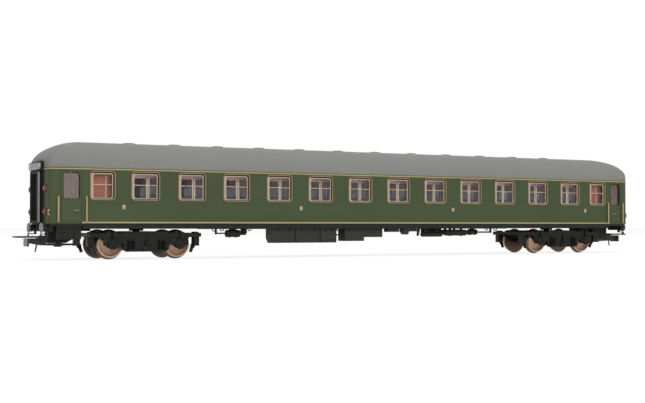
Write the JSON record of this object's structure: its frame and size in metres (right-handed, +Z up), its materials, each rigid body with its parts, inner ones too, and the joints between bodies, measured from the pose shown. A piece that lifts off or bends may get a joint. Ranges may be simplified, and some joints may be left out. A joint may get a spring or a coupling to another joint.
{
  "type": "model railway corridor coach",
  "caption": "Scale model of a corridor passenger coach with a hollow glazed body, swivelling two-axle bogies, gangways, buffers and loop couplers.",
  "frame": {"origin": "middle of the coach at the plane on which the wheel flanges stand", "axes": "+X along the coach towards its rear end, +Y towards the compartment side, +Z up"},
  "size_m": [0.319, 0.0346, 0.0484],
  "materials": {
    "body_paint": "satin green paint on moulded plastic",
    "roof_paint": "matt grey paint on moulded plastic",
    "gutter_line": "printed yellow line on a moulded rib",
    "window_metal": "beige metallic window trim",
    "window_glass": "clear moulded glazing",
    "underframe_plastic": "matt black moulding",
    "gangway_rubber": "black bellows and face plate with a pale edge",
    "canopy_paint": "matt grey",
    "buffer_steel": "dark moulding with grey heads",
    "handrail_brass": "satin brass",
    "lamp_red": "red-brown lamp",
    "interior_plastic": "brown moulding",
    "seat_plastic": "blue-grey moulding",
    "washroom_plastic": "orange-brown moulding",
    "ballast_steel": "plain sheet steel",
    "bogie_plastic": "matt black moulding",
    "axle_steel": "turned steel",
    "wheel_bronze": "bronze-browned metal with turned rings",
    "coupler_plastic": "dark moulding and blackened wire"
  },
  "bodies": {
    "coach_body": {"side_wall_left": "body_paint", "side_wall_right": "body_paint", "end_wall_front": "body_paint", "end_wall_rear": "body_paint", "gangway_doors": "body_paint", "roof": "roof_paint", "roof_vents": "roof_paint", "rain_gutters": "gutter_line", "window_frames_left": "window_metal", "window_frames_right": "window_metal", "glazing_left": "window_glass", "glazing_right": "window_glass", "chassis": "underframe_plastic", "coupler_brackets": "underframe_plastic", "gangway_front": "gangway_rubber", "gangway_rear": "gangway_rubber", "gangway_canopies": "canopy_paint", "buffers": "buffer_steel", "shunter_steps": "underframe_plastic", "door_steps": "underframe_plastic", "handrails": "handrail_brass", "tail_lamps": "lamp_red", "battery_boxes": "underframe_plastic", "equipment_boxes": "underframe_plastic", "air_reservoirs": "underframe_plastic", "brake_cylinder": "underframe_plastic", "dynamo": "underframe_plastic", "brake_rods": "underframe_plastic", "steam_pipe_rings": "underframe_plastic", "interior_floor": "interior_plastic", "partitions": "interior_plastic", "seats": "seat_plastic", "washroom_panels": "washroom_plastic", "ballast_plate": "ballast_steel"},
    "bogie_front": {"bogie_frame_front": "bogie_plastic", "axleboxes_front": "bogie_plastic", "brake_gear_front": "bogie_plastic"},
    "bogie_rear": {"bogie_frame_rear": "bogie_plastic", "axleboxes_rear": "bogie_plastic", "brake_gear_rear": "bogie_plastic"},
    "wheelset_1": {"axle_1": "axle_steel", "wheels_1": "wheel_bronze"},
    "wheelset_2": {"axle_2": "axle_steel", "wheels_2": "wheel_bronze"},
    "wheelset_3": {"axle_3": "axle_steel", "wheels_3": "wheel_bronze"},
    "wheelset_4": {"axle_4": "axle_steel", "wheels_4": "wheel_bronze"},
    "coupler_front": {"coupler_arm_front": "coupler_plastic"},
    "loop_front": {"coupling_loop_front": "coupler_plastic"},
    "coupler_rear": {"coupler_arm_rear": "coupler_plastic"},
    "loop_rear": {"coupling_loop_rear": "coupler_plastic"}
  },
  "joints": [
    {"name": "bogie_front_swivel", "type": "hinge", "parent": "coach_body", "child": "bogie_front", "pos_m": [-0.109, 0, 0.0115], "axis": [0, 0, 1], "range_deg": [-14, 14]},
    {"name": "bogie_rear_swivel", "type": "hinge", "parent": "coach_body", "child": "bogie_rear", "pos_m": [0.109, 0, 0.0115], "axis": [0, 0, 1], "range_deg": [-14, 14]},
    {"name": "wheelset_1_spin", "type": "hinge", "parent": "bogie_front", "child": "wheelset_1", "pos_m": [-0.12335, 0, 0.0061], "axis": [0, 1, 0], "continuous": true},
    {"name": "wheelset_2_spin", "type": "hinge", "parent": "bogie_front", "child": "wheelset_2", "pos_m": [-0.09465, 0, 0.0061], "axis": [0, 1, 0], "continuous": true},
    {"name": "wheelset_3_spin", "type": "hinge", "parent": "bogie_rear", "child": "wheelset_3", "pos_m": [0.09465, 0, 0.0061], "axis": [0, 1, 0], "continuous": true},
    {"name": "wheelset_4_spin", "type": "hinge", "parent": "bogie_rear", "child": "wheelset_4", "pos_m": [0.12335, 0, 0.0061], "axis": [0, 1, 0], "continuous": true},
    {"name": "coupler_front_swing", "type": "hinge", "parent": "coach_body", "child": "coupler_front", "pos_m": [-0.142, 0, 0.006], "axis": [0, 0, 1], "range_deg": [-12, 12]},
    {"name": "loop_front_lift", "type": "hinge", "parent": "coupler_front", "child": "loop_front", "pos_m": [-0.1485, 0, 0.009], "axis": [0, 1, 0], "range_deg": [0, 18]},
    {"name": "coupler_rear_swing", "type": "hinge", "parent": "coach_body", "child": "coupler_rear", "pos_m": [0.142, 0, 0.006], "axis": [0, 0, 1], "range_deg": [-12, 12]},
    {"name": "loop_rear_lift", "type": "hinge", "parent": "coupler_rear", "child": "loop_rear", "pos_m": [0.1485, 0, 0.009], "axis": [0, -1, 0], "range_deg": [0, 18]}
  ]
}
